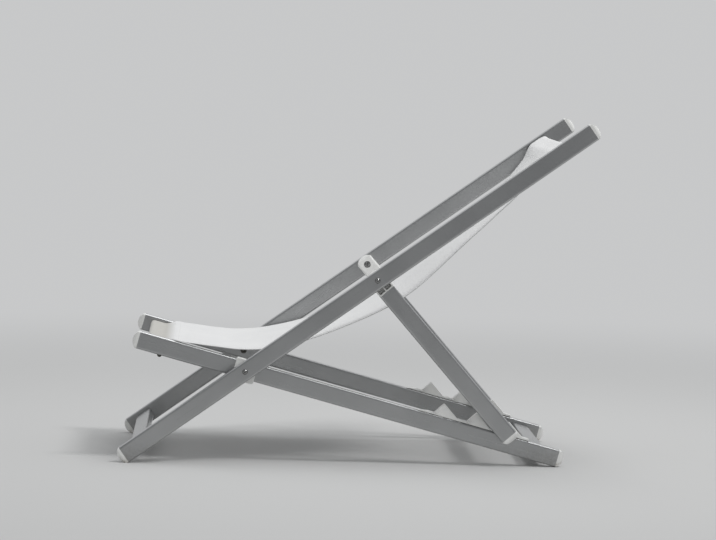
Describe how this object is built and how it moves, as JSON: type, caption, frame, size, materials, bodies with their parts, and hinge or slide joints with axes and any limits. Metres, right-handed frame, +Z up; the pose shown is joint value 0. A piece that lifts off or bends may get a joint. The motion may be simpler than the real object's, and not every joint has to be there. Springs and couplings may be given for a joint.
{
  "type": "deck chair",
  "caption": "Folding deck chair with two crossed tube frames, a notched prop that sets the back, and a fabric sling hung between two crossbars.",
  "frame": {"origin": "on the floor, at the middle of the footprint of the chair's bounding box", "axes": "+X points to the head end of the back frame, +Y to the sitter's right side, +Z up"},
  "size_m": [1.0612, 0.6082, 0.7723],
  "materials": {
    "aluminium_tube": "satin",
    "white_plastic": "satin",
    "bright_steel": "polished",
    "dark_steel": "dark zinc",
    "sling_fabric": "woven"
  },
  "bodies": {
    "seat_frame": {"seat_rail_left": "aluminium_tube", "seat_rail_right": "aluminium_tube", "seat_front_crossbar": "aluminium_tube", "seat_rear_crossbar": "aluminium_tube", "seat_front_cap_left": "white_plastic", "seat_front_cap_right": "white_plastic", "seat_foot_cap_left": "white_plastic", "seat_foot_cap_right": "white_plastic", "notch_rack_left": "white_plastic", "notch_rack_right": "white_plastic", "rack_screws": "bright_steel", "front_bar_screws": "dark_steel", "pivot_block_left": "white_plastic", "pivot_block_right": "white_plastic", "pivot_bolts": "bright_steel", "pivot_nuts": "dark_steel", "sling": "sling_fabric"},
    "back_frame": {"back_rail_left": "aluminium_tube", "back_rail_right": "aluminium_tube", "back_top_crossbar": "aluminium_tube", "back_foot_crossbar": "aluminium_tube", "back_top_cap_left": "white_plastic", "back_top_cap_right": "white_plastic", "back_foot_cap_left": "white_plastic", "back_foot_cap_right": "white_plastic"},
    "prop": {"prop_strut_left": "aluminium_tube", "prop_strut_right": "aluminium_tube", "prop_crossbar": "aluminium_tube", "prop_hinge_plug_left": "white_plastic", "prop_hinge_plug_right": "white_plastic", "prop_foot_cap_left": "white_plastic", "prop_foot_cap_right": "white_plastic", "hinge_bolts": "bright_steel", "hinge_nuts": "dark_steel", "hinge_washers": "white_plastic"}
  },
  "joints": [
    {"name": "back_recline", "type": "hinge", "parent": "seat_frame", "child": "back_frame", "pos_m": [-0.24967, 0, 0.20725], "axis": [0, -1, 0], "range_deg": [0, 19.2], "deforming": ["sling"]},
    {"name": "prop_swing", "type": "hinge", "parent": "back_frame", "child": "prop", "pos_m": [0.04148, 0, 0.41556], "axis": [0, -1, 0], "range_deg": [0, 76]}
  ]
}
